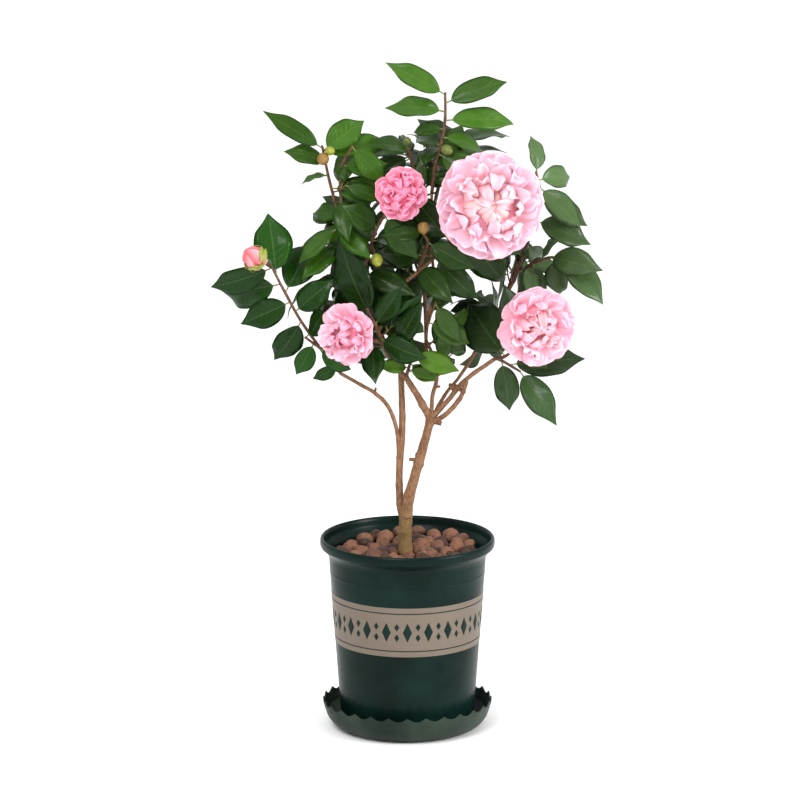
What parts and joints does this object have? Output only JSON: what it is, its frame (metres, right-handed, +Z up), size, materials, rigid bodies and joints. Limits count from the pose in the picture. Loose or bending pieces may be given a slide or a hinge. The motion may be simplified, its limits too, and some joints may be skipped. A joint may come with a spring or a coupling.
{
  "type": "potted camellia shrub",
  "caption": "Young camellia shrub with glossy leaves and pink double blooms in a tapered nursery pot that stands in a toothed saucer.",
  "frame": {"origin": "middle of the saucer's flat underside, on the floor", "axes": "+Z up along the pot's axis; -Y is the front, where the largest bloom faces; +X is the plant's right as seen from the front"},
  "size_m": [0.3874, 0.2582, 0.6772],
  "materials": {
    "saucer_plastic": "satin",
    "pot_plastic": "satin",
    "clay_balls": "matte",
    "bark": "matte",
    "foliage": "satin"
  },
  "bodies": {
    "root": {"back_centre_spray": "foliage", "back_left_spray": "foliage", "back_low_left_spray": "foliage", "back_low_right_spray": "foliage", "back_right_spray": "foliage", "back_top_spray": "foliage", "centre_left_spray": "foliage", "centre_right_spray": "foliage", "centre_spray": "foliage", "cross_bough": "bark", "large_bloom_spray": "foliage", "leader": "bark", "left_side_bough": "bark", "left_spray": "foliage", "left_stem": "bark", "low_centre_spray": "foliage", "middle_bloom_spray": "foliage", "middle_bough": "bark", "middle_top_spray": "foliage", "pot": "pot_plastic", "potting_bed": "clay_balls", "right_bough": "bark", "right_fork_bough": "bark", "right_lower_spray": "foliage", "right_stem": "bark", "right_thin_bough": "bark", "right_upper_spray": "foliage", "saucer": "saucer_plastic", "top_spray": "foliage", "trunk": "bark", "upper_left_bough": "bark", "upper_left_spray": "foliage"}
  },
  "joints": []
}
